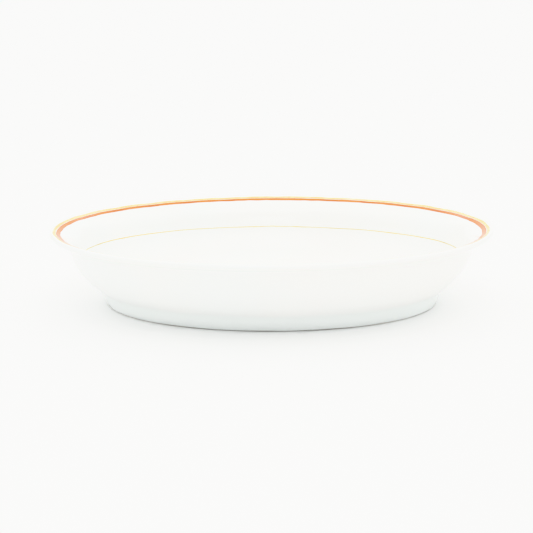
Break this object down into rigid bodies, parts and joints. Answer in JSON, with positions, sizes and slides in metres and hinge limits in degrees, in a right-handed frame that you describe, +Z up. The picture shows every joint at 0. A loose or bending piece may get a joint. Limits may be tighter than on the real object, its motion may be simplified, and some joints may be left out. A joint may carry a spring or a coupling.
{
  "type": "oval serving dish",
  "caption": "Oval open serving dish in white porcelain: rounded wall, flared and softly scalloped lip, foot ring, coral band and gilded lines.",
  "frame": {"origin": "centre of the foot ring's bearing face, on the surface that the dish stands on", "axes": "+X along the length of the oval, +Y across it, +Z up out of the well"},
  "size_m": [0.254, 0.19, 0.044],
  "materials": {
    "bisque": "bare fired porcelain, matt and slightly warm",
    "glaze": "clear gloss glaze over white porcelain",
    "coral_enamel": "fired coral orange enamel, glossy, brushed on by hand",
    "gold": "burnished pale gold, fired on"
  },
  "bodies": {
    "root": {"porcelain_body": "bisque", "glaze_coat": "glaze", "base_glaze": "glaze", "rim_gilding": "gold", "coral_band": "coral_enamel", "verge_line": "gold"}
  },
  "joints": []
}
